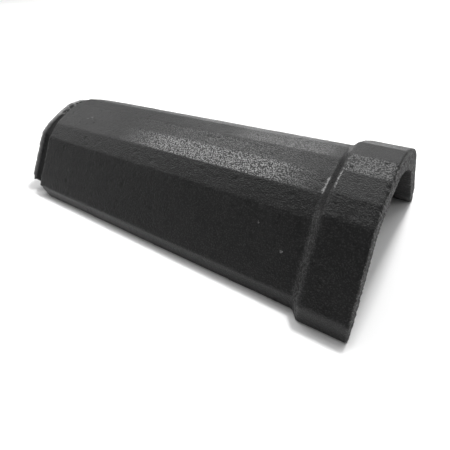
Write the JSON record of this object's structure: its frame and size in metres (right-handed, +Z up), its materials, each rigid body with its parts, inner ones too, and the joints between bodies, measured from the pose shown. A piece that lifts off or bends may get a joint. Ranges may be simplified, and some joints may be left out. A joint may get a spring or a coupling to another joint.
{
  "type": "ridge tile",
  "caption": "Moulded concrete ridge tile: faceted tapering trough on two long feet, with a thick raised collar at one end and a grooved spigot at the other.",
  "frame": {"origin": "middle of the floor that the two feet rest on, under the centre of the tile's box", "axes": "+X along the ridge towards the collar end, +Y across the ridge, +Z up"},
  "size_m": [0.42, 0.2202, 0.103],
  "materials": {
    "concrete": "matt to satin anthracite concrete with fine sand grain"
  },
  "bodies": {
    "root": {"ridge_tile": "concrete"}
  },
  "joints": []
}
